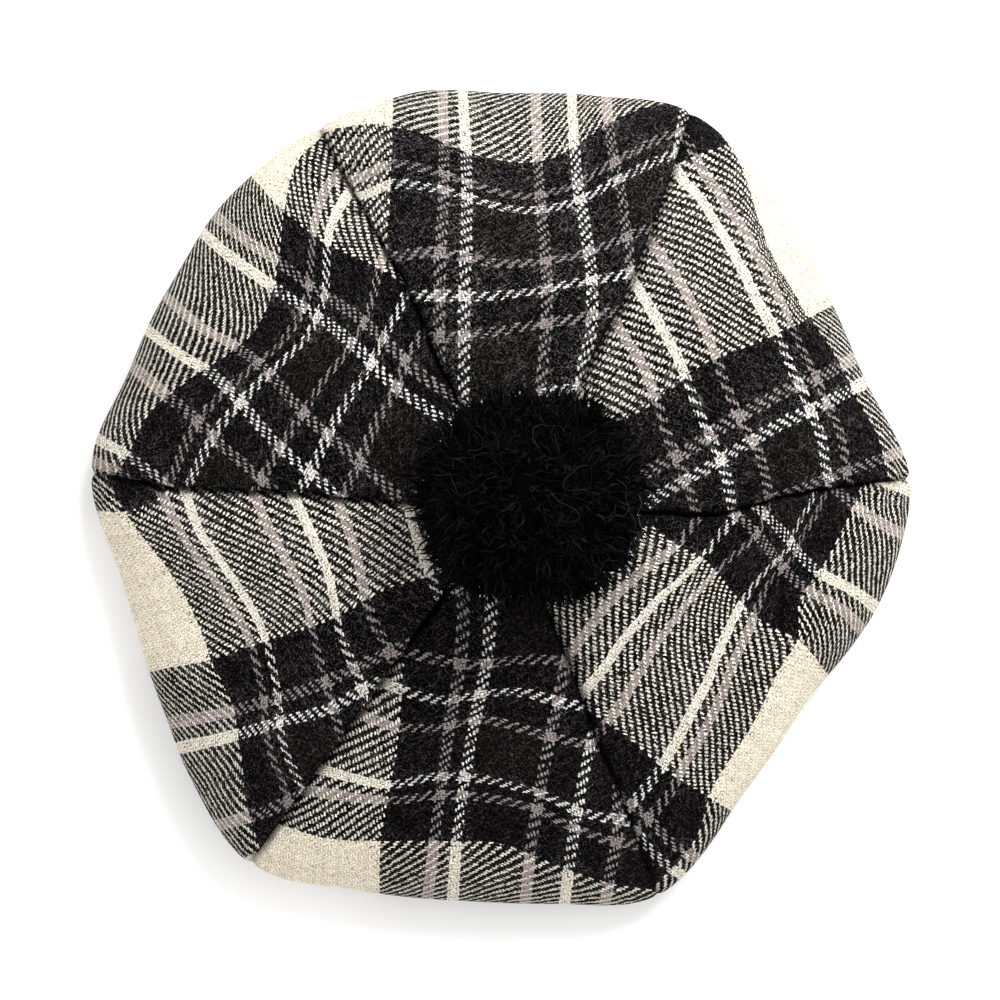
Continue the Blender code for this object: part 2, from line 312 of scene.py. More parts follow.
# How the tartan lies on each gore, read off the picture: the lines, in pixels, that edges of
# its stripes follow.  A radial stripe runs from the hub outwards and a round one along the
# rim.  The first number counts the tartan's threads from the edge of its cream ground.
STRIPES = {
    (1, "round"): (
        (192, ((345, 127), (375, 124), (393, 127), (440, 141), (465, 152), (520, 163), (560, 155),
            (612, 122), (655, 103))),
        (174, ((362, 178), (395, 163), (445, 174), (480, 186), (520, 196), (560, 190), (600, 170),
            (660, 138))),
        (166, ((360, 196), (385, 186), (420, 186), (465, 196), (520, 210), (560, 206), (600, 190),
            (660, 160))),
        (140, ((405, 255), (441, 252), (510, 264), (570, 257), (627, 236))),
        (126, ((420, 296), (465, 296), (520, 293), (570, 283), (628, 273))),
        (112, ((430, 338), (465, 336), (520, 327), (570, 320), (605, 313))),
    ),
    (1, "radial"): (
        (60, ((393, 97), (392, 160), (390, 200), (388, 240))),
        (78, ((443, 97), (444, 175), (440, 252), (439, 338))),
        (86, ((463, 97), (467, 195), (466, 252), (464, 380))),
        (112, ((536, 97), (541, 205), (547, 290), (541, 385))),
        (126, ((572, 97), (579, 195), (592, 281), (590, 340), (584, 360))),
        (140, ((606, 97), (621, 190), (628, 245))),
        (166, ((684, 118), (678, 155))),
    ),
    (2, "round"): (
        (192, ((735, 150), (740, 162), (745, 175), (750, 190), (755, 208), (758, 220), (765, 243),
            (773, 260), (781, 273), (790, 288), (800, 305), (811, 319), (833, 352), (856, 398), (878, 438),
            (884, 460))),
        (178, ((707, 160), (722, 180), (735, 200), (748, 220), (760, 240), (771, 260), (780, 280),
            (790, 300))),
        (174, ((698, 160), (708, 180), (722, 200), (736, 220), (748, 240), (758, 260), (768, 280),
            (779, 300), (790, 320), (817, 378), (838, 425), (847, 472))),
        (166, ((680, 177), (700, 197), (720, 230), (733, 253), (747, 280), (758, 303), (773, 330),
            (783, 347), (793, 373), (802, 390), (813, 417), (822, 440), (825, 463))),
        (140, ((652, 244), (682, 285), (705, 329), (739, 417), (760, 455), (767, 485))),
        (126, ((636, 285), (663, 331), (691, 391), (710, 435), (727, 478), (732, 505))),
        (112, ((615, 322), (640, 361), (656, 398), (668, 437))),
        (86, ((584, 404),)),
    ),
    (2, "radial"): (
        (0, ((686, 160), (715, 148), (730, 143))),
        (60, ((622, 421), (650, 406), (702, 366), (757, 343), (799, 324), (824, 310))),
        (78, ((641, 474), (680, 455), (710, 434), (739, 416), (797, 385), (817, 378), (845, 363))),
        (86, ((644, 506), (686, 480), (720, 461), (752, 441), (810, 411), (826, 403), (856, 387))),
        (112, ((760, 503), (797, 490), (823, 480), (845, 472), (870, 463), (897, 453))),
    ),
    (3, "round"): (
        (192, ((860, 488), (851, 510), (832, 550), (812, 580), (799, 600), (798, 639), (781, 666),
            (761, 709), (724, 768), (709, 796), (697, 835), (678, 862), (655, 885))),
        (174, ((822, 500), (800, 540), (775, 575), (754, 617), (729, 674), (702, 736), (672, 790),
            (648, 818))),
        (166, ((812, 500), (790, 545), (765, 572), (741, 604), (709, 679), (692, 711), (662, 766),
            (632, 803))),
        (140, ((765, 515), (755, 537), (713, 574), (684, 607), (654, 647), (610, 719))),
        (126, ((722, 532), (709, 550), (682, 579), (642, 619), (602, 671), (586, 689))),
        (112, ((672, 549), (647, 567), (607, 604), (570, 654))),
    ),
    (3, "radial"): (
        (126, ((885, 482), (906, 489))),
        (140, ((853, 503), (880, 523), (903, 534))),
        (166, ((762, 512), (785, 535), (800, 555), (818, 572), (845, 586), (872, 604))),
        (174, ((748, 525), (768, 548), (790, 575), (812, 592), (845, 612), (860, 628))),
        (192, ((640, 515), (675, 543), (703, 558), (742, 603), (775, 628), (798, 639), (833, 680))),
        (252, ((598, 718), (630, 740), (655, 762), (695, 790), (709, 798), (733, 812))),
        (270, ((630, 803), (648, 818), (668, 840), (690, 855))),
        (278, ((635, 830), (660, 860), (677, 872))),
    ),
    (4, "round"): (
        (192, ((283, 825), (325, 838), (380, 841), (460, 841), (500, 843), (535, 856), (575, 872),
            (640, 888))),
        (174, ((300, 790), (350, 797), (385, 800), (440, 795), (490, 798), (540, 810), (580, 830),
            (613, 842))),
        (166, ((320, 769), (360, 780), (390, 785), (430, 777), (465, 777), (520, 788), (575, 811),
            (619, 819))),
        (140, ((365, 716), (395, 727), (440, 727), (475, 720), (520, 728), (548, 736), (590, 745))),
        (126, ((388, 684), (415, 695), (455, 700), (520, 692), (562, 703))),
        (112, ((406, 652), (440, 660), (487, 664), (560, 661))),
    ),
    (4, "radial"): (
        (112, ((617, 790), (619, 820), (611, 870), (606, 897))),
        (126, ((592, 740), (582, 785), (574, 830), (565, 897))),
        (140, ((566, 660), (550, 737), (536, 815), (526, 895))),
        (166, ((491, 605), (487, 662), (475, 720), (465, 777), (457, 835), (453, 896))),
        (174, ((463, 600), (460, 664), (450, 722), (440, 795), (434, 845), (428, 895))),
        (192, ((402, 690), (398, 745), (388, 800), (380, 850), (380, 893))),
    ),
    (5, "round"): (
        (192, ((113, 490), (124, 510), (165, 565), (192, 610), (212, 662), (235, 713), (242, 760),
            (245, 795))),
        (174, ((163, 497), (185, 540), (222, 592), (248, 635), (260, 680), (266, 728), (283, 785))),
        (166, ((185, 490), (200, 532), (230, 575), (260, 625), (277, 690), (283, 745), (300, 785))),
        (140, ((255, 497), (278, 545), (305, 600), (316, 645), (335, 715))),
        (126, ((292, 494), (312, 535), (331, 585), (340, 635), (358, 678))),
        (112, ((337, 500), (355, 550), (366, 600), (388, 648))),
        (86, ((408, 508), (418, 542), (430, 575))),
    ),
    (5, "radial"): (
        (140, ((290, 800), (270, 810), (245, 818))),
        (166, ((362, 690), (333, 708), (278, 722), (235, 735), (180, 748))),
        (174, ((408, 645), (355, 668), (323, 683), (275, 699), (230, 712), (175, 722))),
        (192, ((425, 578), (385, 590), (335, 618), (270, 640), (210, 660), (150, 672))),
        (252, ((98, 511), (125, 511), (150, 502), (170, 489))),
    ),
    (6, "round"): (
        (192, ((112, 480), (130, 452), (148, 415), (180, 387), (225, 357), (252, 335), (273, 290),
            (281, 240), (287, 195), (298, 160), (318, 140))),
        (174, ((175, 470), (197, 422), (226, 388), (257, 362), (290, 330), (309, 283), (313, 235),
            (325, 190))),
        (166, ((193, 475), (213, 437), (241, 403), (270, 373), (305, 340), (325, 295), (329, 232),
            (345, 200))),
        (140, ((262, 478), (280, 447), (303, 413), (325, 378), (352, 343), (363, 325), (378, 272))),
        (126, ((310, 473), (327, 437), (347, 400), (370, 366), (383, 338), (402, 303))),
        (112, ((360, 462), (380, 415), (397, 388), (405, 362), (422, 335))),
    ),
    (6, "radial"): (
        (78, ((95, 462), (118, 472))),
        (86, ((95, 437), (128, 456), (160, 480))),
        (112, ((128, 362), (167, 396), (213, 437), (262, 480))),
        (126, ((149, 331), (207, 370), (241, 403), (280, 447), (330, 490))),
        (140, ((168, 299), (205, 330), (257, 362), (303, 413), (360, 462), (395, 495))),
        (166, ((203, 233), (270, 285), (320, 318), (352, 343), (397, 388), (430, 410))),
        (174, ((219, 219), (280, 262), (325, 295), (382, 338), (425, 378))),
        (192, ((248, 172), (282, 210), (322, 242), (365, 262), (385, 272))),
    ),
}
STRIPE_SLACK = 20.0            # how loosely the lay of the cloth follows the lines
LAST_STRIPE = 196.0            # thread just past the last round stripe that the picture shows
ROUND_END = 0.97               # reach past which the round threads are counted by length
RIM_THREAD = 0.84              # millimetres a round thread takes on the rim and underside
RIM_EASE = 5.0                 # length over which the count passes over to that
EVEN_FROM, EVEN_TO = 7.2, 9.5  # rows of TOP and UNDER between which the round threads even out
EVEN_COLUMNS = 25              # over how many columns they do
END_COLUMNS = 7                # columns over which the row where that count starts is averaged
SLOPE_ROWS = 3                 # rows over which the threads' spacing is taken there


def lay_of_cloth(gore, runs):
    """A function of pixels that counts the threads running one way, bent as little as it can
    be while it follows that gore's stripes: a thin-plate spline."""
    pixels, threads = [], []
    for thread, places in STRIPES[gore, runs]:
        pixels += places
        threads += [thread] * len(places)
    known = np.array(pixels, float)
    count = len(known)

    def bending(places):
        apart = np.linalg.norm(places[:, None] - known[None], axis=2)
        return apart ** 2 * np.log(np.maximum(apart, 1e-9))

    flat = np.column_stack([np.ones(count), known])
    system = np.zeros((count + 3, count + 3))
    system[:count, :count] = bending(known) + STRIPE_SLACK * np.eye(count)
    system[:count, count:] = flat
    system[count:, :count] = flat.T
    weights = np.linalg.solve(system, np.array(threads + [0, 0, 0], float))

    def threads_at(places):
        flat_part = np.column_stack([np.ones(len(places)), places]) @ weights[count:]
        return bending(places) @ weights[:count] + flat_part

    return threads_at


def waves(chance, count, pitch):
    """A smooth uneven surface between -1 and 1 over (x, y) places in millimetres."""
    turns = chance.uniform(0, 2 * math.pi, count)
    phases = chance.uniform(0, 2 * math.pi, count)
    pitches = chance.uniform(*pitch, count)

    def height_at(x, y):
        total = 0
        for turn, phase, length in zip(turns, phases, pitches):
            run = x * math.cos(turn) + y * math.sin(turn)
            total = total + np.sin(2 * math.pi * run / length + phase)
        return total / math.sqrt(count) / 1.4

    return height_at


def mesh_object(name, places, quads, crease, attributes):
    """A piece from its points in millimetres, its faces, and values kept at the points.  It
    is smooth, apart from edges sharper than crease, in degrees, where that isn't 0."""
    mesh = bpy.data.meshes.new(name)
    mesh.from_pydata((places * MM).tolist(), [], quads)
    for key, values in attributes.items():
        layer = mesh.attributes.new(key, "FLOAT", "POINT")
        layer.data.foreach_set("value", np.asarray(values, np.float32).ravel())
    mesh.validate()
    mesh.shade_smooth()
    ob = bpy.data.objects.new(name, mesh)
    bpy.context.scene.collection.objects.link(ob)
    if crease:
        mesh.set_sharp_from_angle(angle=math.radians(crease))
    return ob


def grid_faces(rows, columns, first=0, flip=False):
    """The four-sided faces of a grid of points that are numbered row by row."""
    faces = []
    for j in range(rows - 1):
        for i in range(columns - 1):
            corner = first + j * columns + i
            face = (corner, corner + columns, corner + columns + 1, corner + 1)
            faces.append(face[::-1] if flip else face)
    return faces


def count_past_last_stripe(threads, reach, along):
    """Counts the round threads by length of cloth, from where the last stripe that can be
    read off the picture lies, over the rim and along the underside."""
    rows, columns = threads.shape
    past = (threads >= LAST_STRIPE) | (reach >= ROUND_END)
    ends = np.argmax(past, axis=0)
    beside = END_COLUMNS // 2
    mean = np.full(END_COLUMNS, 1 / END_COLUMNS)
    ends = np.convolve(np.pad(ends, beside, "edge"), mean, "valid").astype(int)
    counted = threads.copy()
    for column, last in enumerate(ends):
        before = last - SLOPE_ROWS
        slope = (threads[last, column] - threads[before, column]) \
            / (along[last, column] - along[before, column])
        beyond = along[last:, column] - along[last, column]
        eased = RIM_EASE * (1 - np.exp(-beyond / RIM_EASE))
        counted[last:, column] = (threads[last, column] + beyond / RIM_THREAD
                                  + (slope - 1 / RIM_THREAD) * eased)
    share = np.clip((places_along() - EVEN_FROM) / (EVEN_TO - EVEN_FROM), 0, 1)
    share = (share * share * (3 - 2 * share))[:, None]
    return counted + share * (evened(evened(counted)) - counted)


def evened(threads):
    """The counts averaged over neighbouring columns, for the underside, which the picture
    doesn't show."""
    beside = EVEN_COLUMNS // 2
    padded = np.pad(threads, ((0, 0), (beside, beside)), "edge")
    return sum(padded[:, k:k + threads.shape[1]] for k in range(EVEN_COLUMNS)) / EVEN_COLUMNS


def build_gore(gore):
    """One petal: an outer and an inner face, joined round their edges."""
    chance = np.random.default_rng(GORE_SEED + gore)
    even = np.linspace(0, 1, COLUMNS + 1)
    across = even - EDGE_CROWDING * np.sin(2 * math.pi * even) / (2 * math.pi)
    rim = rim_radius(gore, across)
    stand = puff(gore, across)
    radius, height, reach = section(rim, stand, rim_lift(gore, across))
    ways = wall_directions()
    on_top = places_along() <= len(TOP) - 1
    height = height - np.where(on_top[:, None], dent(gore, across, reach), 0)

    angle = gore_angle(gore, across, reach)
    width = radius * np.abs(gore_angle(gore, 1.0, reach) - gore_angle(gore, 0.0, reach))
    from_first = width * across
    from_last = width * (1 - across)
    from_seam = np.minimum(from_first, from_last)
    along = np.cumsum(np.hypot(np.diff(radius, axis=0, prepend=radius[:1]),
                               np.diff(height, axis=0, prepend=height[:1])), axis=0)

    push = np.zeros_like(radius)
    ditch = np.zeros_like(radius)
    roll = np.zeros_like(radius)
    for number, distance in ((gore - 1, from_first), (gore % 6, from_last)):
        seam = SEAMS[number]
        ripple = waves(chance, 3, PUCKER_PITCH)(along, distance * PUCKER_SLANT)
        fade = np.exp(-(distance / PUCKER_SPREAD)) * (1 - np.exp(-distance / STITCH_HOLD))
        push += seam.pucker * ripple * fade
        ditch += seam.ditch * np.exp(-(distance / DITCH_SPREAD) ** 2)
        for pinch in PINCHES:
            if pinch.seam == number:
                away = np.hypot(distance, (reach - pinch.reach) * rim) / pinch.spread
                ditch += pinch.depth * np.exp(-away ** PINCH_POINT)
        bulge = np.exp(-((distance - ROLL_AT) / ROLL_SPREAD) ** 2) * (1 - np.exp(-distance))
        lively = 1 - ROLL_UNEVEN + ROLL_UNEVEN * waves(chance, 2, PUCKER_PITCH)(along, 0.0)
        if number == gore - 1:
            roll -= seam.roll_after * bulge * lively
        else:
            roll += seam.roll_before * bulge * lively
    swell = waves(chance, 5, SWELL_PITCH)(radius * np.cos(angle), radius * np.sin(angle))
    push += SWELL * swell * stand
    held = (np.clip(places_along() - 0.5, 0, 1)
            * np.clip(len(TOP + UNDER) - 1.5 - places_along(), 0, 1))[:, None]
    push *= held
    ditch *= held
    roll *= held * np.clip((width - ROLL_WIDTH[0]) / (ROLL_WIDTH[1] - ROLL_WIDTH[0]), 0, 1)
    eased = np.interp(places_along(), GROOVE_ROWS, (1.0, RIM_SHARE))[:, None]
    ditch *= eased
    roll *= eased
    allowance = ALLOWANCE_RISE * np.clip((ALLOWANCE_WIDTH - from_seam) / ALLOWANCE_EDGE, 0, 1)
    allowance *= held * np.clip(from_seam, 0.25, 1)

    def face_places(offset):
        shifted_radius = radius + offset * ways[:, :1]
        shifted_height = height + offset * ways[:, 1:]
        side = 0.5 * SEWN_GAP * (1 - 2 * across) + roll
        x = HUB[0] + shifted_radius * np.cos(angle) + side * np.sin(angle)
        y = HUB[1] + shifted_radius * np.sin(angle) - side * np.cos(angle)
        return np.stack([x, y, shifted_height], axis=-1)

    outer = face_places(push - ditch)
    inner = face_places(push - ditch - CLOTH - allowance)

    pixels = seen_at(outer[..., 0], outer[..., 1], outer[..., 2]).reshape(-1, 2)
    radial_count = lay_of_cloth(gore, "radial")(pixels).reshape(radius.shape)
    round_count = lay_of_cloth(gore, "round")(pixels).reshape(radius.shape)
    round_count = count_past_last_stripe(round_count, reach, along)

    rows, columns = radius.shape
    count = rows * columns
    faces = grid_faces(rows, columns) + grid_faces(rows, columns, count, flip=True)
    rim_loop = list(range(columns))
    rim_loop += [j * columns + columns - 1 for j in range(1, rows)]
    rim_loop += [(rows - 1) * columns + i for i in range(columns - 2, -1, -1)]
    rim_loop += [j * columns for j in range(rows - 2, 0, -1)]
    for here, there in zip(rim_loop, rim_loop[1:] + rim_loop[:1]):
        faces.append((here, there, there + count, here + count))
    places = np.concatenate([outer.reshape(-1, 3), inner.reshape(-1, 3)])
    attributes = {
        "radial_thread": np.tile(radial_count.ravel(), 2),
        "round_thread": np.tile(round_count.ravel(), 2),
        "from_seam": np.tile(from_seam.ravel(), 2),
        "brushed": np.full(2 * count, NAP_AND_GLINT[gore - 1]),
    }
    return mesh_object(f"crown_gore_{gore}_cloth", places, faces, GORE_CREASE, attributes)


class Wire:
    """An output of a material's nodes, for use in expressions."""

    def __init__(self, finish, socket):
        self.finish = finish
        self.socket = socket

    def __add__(self, other):
        return self.finish.math("ADD", self, other)

    __radd__ = __add__

    def __sub__(self, other):
        return self.finish.math("SUBTRACT", self, other)

    def __rsub__(self, other):
        return self.finish.math("SUBTRACT", other, self)

    def __mul__(self, other):
        return self.finish.math("MULTIPLY", self, other)

    __rmul__ = __mul__

    def __truediv__(self, other):
        return self.finish.math("DIVIDE", self, other)

    def __mod__(self, other):
        return self.finish.math("FLOORED_MODULO", self, other)

    def __lt__(self, other):
        return self.finish.math("LESS_THAN", self, other)


class Finish:
    """A procedural material, made of nodes."""

    def __init__(self, name):
        self.material = bpy.data.materials.new(name)
        self.material.use_nodes = True
        self.tree = self.material.node_tree
        self.shader = self.tree.nodes["Principled BSDF"]

    def node(self, kind, settings, inputs, output=0):
        """Adds a node: its settings, then the values or links of its sockets."""
        node = self.tree.nodes.new("ShaderNode" + kind)
        for key, value in settings.items():
            if key == "stops":
                self.set_stops(node.color_ramp, value)
            else:
                setattr(node, key, value)
        for key, value in inputs.items():
            self.feed(node.inputs[key], value)
        return Wire(self, node.outputs[output])

    def set_stops(self, ramp, stops):
        """Sets a ramp's (place, colour) stops, each colour held up to the next."""
        ramp.interpolation = "CONSTANT"
        while len(ramp.elements) < len(stops):
            ramp.elements.new(0.5)
        for element, (place, colour) in zip(ramp.elements, stops):
            element.position = place
            element.color = (*colour, 1.0)

    def feed(self, socket, value):
        if isinstance(value, Wire):
            self.tree.links.new(value.socket, socket)
        else:
            socket.default_value = value

    def math(self, operation, *values):
        return self.node("Math", {"operation": operation}, dict(enumerate(values)))

    def fade(self, value, none, full):
        """0 where value is at none, 1 where it is at full, smooth between."""
        ends = {"Value": value, "From Min": none, "From Max": full}
        return self.node("MapRange", {"interpolation_type": "SMOOTHSTEP"}, ends)

    def blend(self, factor, first, second, way="MIX"):
        """Mixes two colours."""
        settings = {"data_type": "RGBA", "blend_type": way}
        colours = [c if isinstance(c, Wire) else (*c, 1.0) for c in (first, second)]
        return self.node("Mix", settings, {0: factor, 6: colours[0], 7: colours[1]}, 2)

    def surface(self, links, constants):
        """Feeds the shader's varying sockets and sets those that are the same all over."""
        for key, value in {**links, **constants}.items():
            self.feed(self.shader.inputs[key], value)
        return self.material


BLACK = (0.0014, 0.0011, 0.0013)
CHARCOAL = (0.0040, 0.0031, 0.0034)
GREY = (0.36, 0.32, 0.325)
WHITE = (0.94, 0.93, 0.90)
CREAM = (1.0, 0.94, 0.81)

# The tartan's repeat: how many threads each stripe takes.
SETT = ((CREAM, 60), (BLACK, 16), (GREY, 4), (BLACK, 4), (WHITE, 4), (CHARCOAL, 22), (GREY, 4),
        (BLACK, 10), (WHITE, 4), (BLACK, 10), (GREY, 4), (CHARCOAL, 22), (WHITE, 4), (BLACK, 4),
        (GREY, 4), (BLACK, 16))
REPEAT = sum(threads for _, threads in SETT)

THREAD_WANDER = 1.25           # threads by which a thread strays from its line
DYE_DARKEST, DYE_SPREAD = 0.84, 0.24     # how evenly the threads took the dye
RADIAL_LEAN, ROUND_LEAN = 0.35, -0.2     # how far a float leans across its own thread
FLOAT_SIDES = (0.86, 0.42)     # where a float fades out and is whole, of half its width
FLOAT_ENDS = (0.96, 0.6)       # the same along it, in threads
FUZZ_SCALE, FUZZ_RAGGED, FUZZ_SHADE = 1700.0, 1.8, 1.6    # the wool's finest unevenness, and its painted shade
GRAIN_SCALE, GRAIN_RAGGED, GRAIN_SHADE = 1050.0, 2.4, 2.0
PULLED_FROM = 26.0             # threads over which loose fibres are pulled out of their yarn
GAP_TONE = (0.47, 0.43, 0.36)  # how much light reaches the gaps between the floats
SEAM_SHADE = 0.6               # how much darker the cloth is in a seam
SEAM_SHADE_FALL = 0.6          # how fast that goes, for each millimetre from the seam
NAP_ALONG, NAP_ACROSS = 0.20, 1.1        # how fine the short fibres are, both ways


def tartan(name):
    """Brushed 2/2 twill: each thread floats over two and dives under two of the others."""
    finish = Finish(name)
    from_seam = finish.node("Attribute", {"attribute_name": "from_seam"}, {}, 2)
    brushed = finish.node("Attribute", {"attribute_name": "brushed"}, {}, 2)
    place = finish.node("TexCoord", {}, {}, 3)

    def noise(scale, detail, roughness=0.6, at=place):
        return finish.node("TexNoise", {}, {"Vector": at, "Scale": scale, "Detail": detail,
                                            "Roughness": roughness})

    # No thread runs quite straight.
    radial = finish.node("Attribute", {"attribute_name": "radial_thread"}, {}, 2)
    rounds = finish.node("Attribute", {"attribute_name": "round_thread"}, {}, 2)
    radial = radial + THREAD_WANDER * (noise(610.0, 1.0) - 0.5)
    rounds = rounds + THREAD_WANDER * (noise(730.0, 1.0) - 0.5)
    radial_number = finish.math("FLOOR", radial)
    round_number = finish.math("FLOOR", rounds)
    radial_run = (rounds - radial_number) % 4
    round_run = (radial - round_number - 1) % 4
    radial_over = radial_run < 2

    def sett_colour(number):
        stops, start = [], 0
        for colour, threads in SETT:
            stops.append((start / REPEAT, colour))
            start += threads
        shade = (number % REPEAT + 0.5) / REPEAT
        return finish.node("ValToRGB", {"stops": stops}, {"Fac": shade})

    def colour_of(number, seed):
        dye = finish.node("TexWhiteNoise", {"noise_dimensions": "1D"}, {"W": number * 1.37 + seed})
        tone = finish.node("CombineColor", {}, {k: DYE_DARKEST + DYE_SPREAD * dye for k in range(3)})
        return finish.blend(1.0, sett_colour(number), tone, "MULTIPLY")

    radial_colour = colour_of(radial_number, seed=3.1)
    round_colour = colour_of(round_number, seed=77.7)
    yarn = finish.blend(radial_over, round_colour, radial_colour)
    fuzz = noise(FUZZ_SCALE, 2.0, 0.7)
    grain = noise(GRAIN_SCALE, 1.0)

    # The top of a float stands clear, with rounded, leaning ends, each a little different.
    def float_shown(side, number, run, lean, other):
        turn = finish.math("FLOOR", other / 4)
        spot = finish.node("CombineXYZ", {}, {0: number, 1: turn, 2: lean * 9})
        chance = finish.node("TexWhiteNoise", {"noise_dimensions": "3D"}, {"Vector": spot})
        off_side = 2 * (side - number) - 1 + (run - 1) * lean + (chance - 0.5) * 0.4
        ragged = (fuzz - 0.5) * FUZZ_RAGGED + (grain - 0.5) * GRAIN_RAGGED + (chance - 0.5) * 0.5
        across = finish.fade(finish.math("ABSOLUTE", off_side) + ragged, *FLOAT_SIDES)
        ends = finish.fade(finish.math("ABSOLUTE", run - 1) + ragged * 0.6, *FLOAT_ENDS)
        return across * ends * (0.44 + 0.6 * chance)

    radial_shown = float_shown(radial, radial_number, radial_run, RADIAL_LEAN,
                               rounds - radial_number)
    round_shown = float_shown(rounds, round_number, round_run, ROUND_LEAN,
                              radial - round_number - 1)
    shown = radial_over * radial_shown + (1 - radial_over) * round_shown

    # Fibres pulled out of the threads near by lie in the gaps between the floats.
    pulled_radial = sett_colour(radial + PULLED_FROM * (noise(820.0, 1.0) - 0.5))
    pulled_round = sett_colour(rounds + PULLED_FROM * (noise(940.0, 1.0) - 0.5))
    pulled = finish.blend(finish.fade(noise(1500.0, 1.0), 0.46, 0.54), pulled_radial, pulled_round)
    gap = finish.blend(1.0, radial_colour, round_colour, "DARKEN")
    gap = finish.blend(1.0, gap, pulled, "DARKEN")
    gap = finish.blend(1.0, gap, GAP_TONE, "MULTIPLY")
    cloth = finish.blend(shown, gap, yarn)

    # The brushed nap: short fibres that lie along and across the twill, and some long curled
    # hairs.
    def streaks(lean, layer):
        spot = finish.node("CombineXYZ", {}, {0: NAP_ALONG * (radial + lean * rounds),
                                              1: NAP_ACROSS * (radial - lean * rounds),
                                              2: layer})
        return finish.fade(noise(1.0, 2.0, at=spot), 0.57, 0.70)

    long_hair = finish.fade(finish.math("ABSOLUTE", noise(150.0, 0.5) - 0.5), 0.010, 0.003)
    long_hair = long_hair * finish.fade(noise(110.0, 1.0), 0.46, 0.58)
    tangle = finish.fade(noise(1700.0, 1.0), 0.55, 0.67)
    # Partly painted glint: the gores that face the lamp get more of the nap's light fibres.
    patchy = brushed * (0.6 + 0.4 * finish.fade(noise(60.0, 2.0), 0.38, 0.62))
    nap = finish.blend(0.3, finish.blend(0.45, gap, GREY), pulled)
    standing = 0.5 * streaks(1.0, 2.3) + 0.4 * streaks(-1.0, 7.9) + 0.4 * tangle + 0.5 * long_hair
    cloth = finish.blend(standing * patchy, cloth, nap)
    # Painted shade: the colour is darkened where the wool's fine unevenness lies low, and near the seams.
    depth = 1.0 + FUZZ_SHADE * (fuzz - 0.5) + GRAIN_SHADE * (grain - 0.5)
    seam_shade = 1 - SEAM_SHADE * finish.math("EXPONENT", from_seam * -SEAM_SHADE_FALL)
    light = finish.node("CombineColor", {}, {k: depth * seam_shade for k in range(3)})
    cloth = finish.blend(1.0, cloth, light, "MULTIPLY")

    bump = finish.node("Bump", {}, {"Strength": 0.9, "Distance": 0.0003,
                                    "Height": shown * 0.8 + fuzz * 0.4})
    return finish.surface({"Base Color": cloth, "Roughness": 0.86 + 0.12 * fuzz, "Normal": bump},
                          {"Sheen Weight": 0.004, "Sheen Roughness": 0.5, "Specular IOR Level": 0.01})


gore_cloth = tartan("brushed_tartan")
for number in range(1, 7):
    gore = build_gore(number)
    gore.data.materials.append(gore_cloth)
    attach(gore, "root")
    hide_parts(f"crown_gore_{number}")

# ------------------------------------------------------------------------------------------
# Headband.  A double strip of the same tartan, folded at its foot and sewn to the edge of the
# opening, with its two ends joined at the back.
# ------------------------------------------------------------------------------------------
BAND_EDGE = 0.6                # height at which the fold at its foot begins
BAND_COLUMNS = 360
BAND_ROWS = 22                 # rows of the mesh up each side, above the fold
FOLD_HEIGHT = 0.18             # the row that rounds the fold
FOLD_INSET = 0.25
FOOT_INSET = 0.2               # further inset of the flat foot
BAND_THREAD = 1.02             # millimetres a thread takes across the band
FOLD_THREAD = 112.0            # thread of the tartan's repeat that lies in the fold
BAND_RIPPLE = 0.35
BAND_RIPPLE_PITCH = (14.0, 34.0)
# The band's nap and its painted glint, at one value all round.
BAND_NAP_AND_GLINT = 0.6
BAND_CREASE = 60
BAND_SEED = 7
CLEAR_OF_SEAMS = 20.0          # distance at which a seam darkens nothing


def build_headband():
    """The band as rings of one profile, with a soft fold at the foot."""
    band_outer = BAND_INNER + BAND_WALL
    heights = np.linspace(BAND_HEIGHT, BAND_EDGE, BAND_ROWS)
    inner = [(BAND_INNER, h) for h in heights] + [(BAND_INNER + FOLD_INSET, FOLD_HEIGHT)]
    foot = [(BAND_INNER + BAND_EDGE + FOOT_INSET, 0.0), (band_outer - BAND_EDGE - FOOT_INSET, 0.0)]
    outer = [(band_outer - FOLD_INSET, FOLD_HEIGHT)] + [(band_outer, h) for h in heights[::-1]]
    profile = np.array(inner + foot + outer)
    turn = np.linspace(0, 2 * math.pi, BAND_COLUMNS + 1)
    chance = np.random.default_rng(BAND_SEED)
    ripple = 0.5 + 0.5 * waves(chance, 4, BAND_RIPPLE_PITCH)(turn[None] * BAND_INNER, profile[:, 1:])
    hold = np.sin(math.pi * np.clip(profile[:, 1:] / BAND_HEIGHT, 0, 1))
    radius = profile[:, :1] - BAND_RIPPLE * hold * ripple
    radius[:, -1] = radius[:, 0]
    height = np.repeat(profile[:, 1:], BAND_COLUMNS + 1, axis=1)
    places = np.stack([HUB[0] + radius * np.cos(turn), HUB[1] + radius * np.sin(turn), height],
                      axis=-1)
    rows = len(profile)
    faces = []
    for j in range(rows):
        row, below = j * (BAND_COLUMNS + 1), (j + 1) % rows * (BAND_COLUMNS + 1)
        for i in range(BAND_COLUMNS):
            faces.append((row + i, row + i + 1, below + i + 1, below + i))
    girth = 2 * math.pi * band_outer
    threads = round(girth / BAND_THREAD / 4) * 4
    inside = np.arange(rows)[:, None] < len(inner)
    attributes = {
        "radial_thread": np.repeat((turn / (2 * math.pi) * threads)[None], rows, axis=0),
        "round_thread": FOLD_THREAD + np.where(inside, -height, height) / BAND_THREAD,
        "from_seam": np.full_like(radius, CLEAR_OF_SEAMS),
        "brushed": np.full_like(radius, BAND_NAP_AND_GLINT),
    }
    return mesh_object("headband_cloth", places.reshape(-1, 3), faces, BAND_CREASE, attributes)


headband = build_headband()
headband.data.materials.append(gore_cloth)
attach(headband, "root")
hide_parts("headband")

